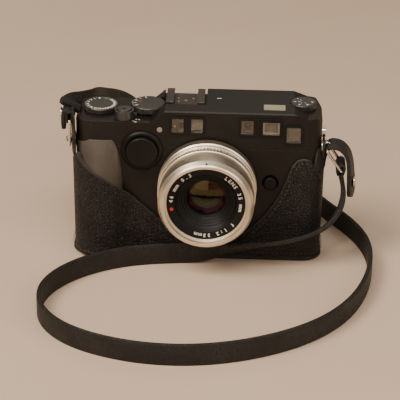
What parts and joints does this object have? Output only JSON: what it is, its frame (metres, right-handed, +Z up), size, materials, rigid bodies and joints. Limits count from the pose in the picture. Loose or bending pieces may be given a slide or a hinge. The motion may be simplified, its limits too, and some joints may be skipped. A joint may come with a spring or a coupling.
{
  "type": "rangefinder camera",
  "caption": "Autofocus rangefinder camera with a short silver lens, in a leather half case, with a leather neck strap looped in front.",
  "frame": {"origin": "mouth of the tripod socket on the underside of the half case", "axes": "+Z up, the lens faces -Y, +X to the right seen from the front"},
  "size_m": [0.1855, 0.261, 0.0924],
  "materials": {
    "case_leather": "pebbled black leather",
    "case_board": "hard leather board",
    "screw_metal": "polished nickel plate",
    "black_paint": "satin black finish on metal",
    "black_plastic": "matte black",
    "control_black": "black anodised, knurled",
    "shoe_metal": "dark steel",
    "contact_gold": "gold-plated contacts",
    "chassis_metal": "die-cast, dark grey",
    "battery_wrap": "plain wrap",
    "shutter_metal": "thin dark metal",
    "window_glass": "clear glass",
    "lens_glass": "coated glass",
    "lens_silver": "champagne satin metal",
    "strap_leather": "smooth black leather"
  },
  "bodies": {
    "camera": {"case_sole": "case_leather", "case_shell": "case_leather", "case_stiffener": "case_board", "tripod_socket": "screw_metal", "body_screws": "screw_metal", "door_hinge_pin": "screw_metal", "strap_lugs": "screw_metal", "strap_rings": "screw_metal", "strap_rivets": "screw_metal", "sync_terminal": "screw_metal", "body_mount_ring": "screw_metal", "top_cover": "black_paint", "bottom_cover": "black_paint", "front_panel": "black_paint", "battery_cover": "black_plastic", "hand_grip": "black_plastic", "finder_block": "black_plastic", "af_module": "black_plastic", "window_frames": "black_plastic", "focus_dial_housing": "black_plastic", "eyepiece_frame": "black_plastic", "lcd_panel": "black_plastic", "hot_shoe": "shoe_metal", "shoe_contacts": "contact_gold", "main_chassis": "chassis_metal", "batteries": "battery_wrap", "window_glasses": "window_glass", "self_timer_lamp": "window_glass", "strap_ends": "strap_leather", "strap_floor_loop": "strap_leather", "strap_front_drop": "strap_leather", "strap_rear_rise": "strap_leather"},
    "tripod_screw": {"case_screw": "screw_metal"},
    "shutter_release": {"shutter_button": "control_black"},
    "power_collar": {"power_switch": "control_black"},
    "speed_dial": {"shutter_speed_dial": "control_black"},
    "compensation_dial": {"exposure_dial": "control_black"},
    "drive_selector": {"drive_dial": "control_black"},
    "focus_wheel": {"focus_dial": "black_plastic"},
    "lens": {"lens_barrel": "lens_silver", "lens_front_ring": "lens_silver", "lens_inner_ring": "black_plastic", "front_element": "lens_glass", "rear_element": "lens_glass", "element_cell": "black_plastic", "iris_blades": "shutter_metal"},
    "aperture_control": {"aperture_ring": "lens_silver"},
    "lens_release": {"lens_release_button": "black_plastic"},
    "rear_door": {"back_door": "black_paint", "film_window": "window_glass"},
    "film_pressure": {"pressure_plate": "shutter_metal"},
    "latch": {"door_latch": "black_plastic"},
    "spool": {"takeup_spool": "black_plastic"},
    "sprocket": {"film_sprocket": "black_plastic"},
    "rewind": {"rewind_fork": "black_plastic"},
    "diopter_control": {"diopter_dial": "black_plastic"},
    "lock_button": {"focus_lock_button": "black_plastic"},
    "blade_lower": {"shutter_blade_lower": "shutter_metal"},
    "blade_middle": {"shutter_blade_middle": "shutter_metal"},
    "blade_upper": {"shutter_blade_upper": "shutter_metal"}
  },
  "joints": [
    {"name": "tripod_screw_turn", "type": "hinge", "parent": "camera", "child": "tripod_screw", "pos_m": [0, 0, 0.0005], "axis": [0, 0, 1], "continuous": true},
    {"name": "shutter_press", "type": "slide", "parent": "camera", "child": "shutter_release", "axis": [0, 0, -1], "range_m": [0, 0.0014], "stiffness_N_per_m": 400, "springref_m": -0.0015},
    {"name": "power_switch_turn", "type": "hinge", "parent": "camera", "child": "power_collar", "pos_m": [-0.042, -0.0108, 0.085], "axis": [0, 0, 1], "range_deg": [-22, 22]},
    {"name": "speed_dial_turn", "type": "hinge", "parent": "camera", "child": "speed_dial", "pos_m": [-0.056, 0.0009, 0.085], "axis": [0, 0, 1], "continuous": true},
    {"name": "exposure_dial_turn", "type": "hinge", "parent": "camera", "child": "compensation_dial", "pos_m": [-0.0292, 0.0012, 0.085], "axis": [0, 0, 1], "range_deg": [-75, 75]},
    {"name": "drive_dial_turn", "type": "hinge", "parent": "camera", "child": "drive_selector", "pos_m": [0.0586, 0.0005, 0.089], "axis": [0, 0, 1], "range_deg": [-90, 90]},
    {"name": "focus_dial_turn", "type": "hinge", "parent": "camera", "child": "focus_wheel", "pos_m": [-0.0317, -0.017, 0.0666], "axis": [0, -1, 0], "continuous": true},
    {"name": "lens_bayonet_turn", "type": "hinge", "parent": "camera", "child": "lens", "pos_m": [0.0055, -0.0183, 0.047], "axis": [0, -1, 0], "range_deg": [0, 60]},
    {"name": "aperture_ring_turn", "type": "hinge", "parent": "lens", "child": "aperture_control", "pos_m": [0.0055, -0.028, 0.047], "axis": [0, -1, 0], "range_deg": [-35, 35]},
    {"name": "lens_release_press", "type": "slide", "parent": "camera", "child": "lens_release", "axis": [0, 1, 0], "range_m": [0, 0.0012], "stiffness_N_per_m": 400, "springref_m": -0.0015},
    {"name": "rear_door_swing", "type": "hinge", "parent": "camera", "child": "rear_door", "pos_m": [0.0646, 0.0147, 0.043], "axis": [0, 0, -1], "range_deg": [0, 105]},
    {"name": "pressure_plate_travel", "type": "slide", "parent": "rear_door", "child": "film_pressure", "axis": [0, -1, 0], "range_m": [0, 0.0004], "stiffness_N_per_m": 300, "springref_m": 0.0006},
    {"name": "latch_slide", "type": "slide", "parent": "camera", "child": "latch", "axis": [0, 0, 1], "range_m": [0, 0.004], "stiffness_N_per_m": 200, "springref_m": -0.001},
    {"name": "takeup_spool_turn", "type": "hinge", "parent": "camera", "child": "spool", "pos_m": [-0.0375, 0.0025, 0.043], "axis": [0, 0, 1], "continuous": true},
    {"name": "film_sprocket_turn", "type": "hinge", "parent": "camera", "child": "sprocket", "pos_m": [-0.02, 0.0055, 0.043], "axis": [0, 0, 1], "continuous": true},
    {"name": "rewind_fork_turn", "type": "hinge", "parent": "camera", "child": "rewind", "pos_m": [0.0445, 0.001, 0.062], "axis": [0, 0, 1], "continuous": true},
    {"name": "diopter_dial_turn", "type": "hinge", "parent": "camera", "child": "diopter_control", "pos_m": [0.028, 0.017, 0.08], "axis": [0, 1, 0], "range_deg": [-60, 60]},
    {"name": "focus_lock_press", "type": "slide", "parent": "camera", "child": "lock_button", "axis": [0, -1, 0], "range_m": [0, 0.0012], "stiffness_N_per_m": 400, "springref_m": -0.0015},
    {"name": "shutter_upper_travel", "type": "slide", "parent": "camera", "child": "blade_upper", "axis": [0, 0, -1], "range_m": [0, 0.0265]},
    {"name": "shutter_middle_travel", "type": "slide", "parent": "camera", "child": "blade_middle", "axis": [0, 0, -1], "range_m": [0, 0.018]},
    {"name": "shutter_lower_travel", "type": "slide", "parent": "camera", "child": "blade_lower", "axis": [0, 0, -1], "range_m": [0, 0.0095]}
  ],
  "couplings": [
    {"joint": "shutter_middle_travel", "follows": "shutter_upper_travel", "ratio": 0.67924},
    {"joint": "shutter_lower_travel", "follows": "shutter_upper_travel", "ratio": 0.35848}
  ]
}
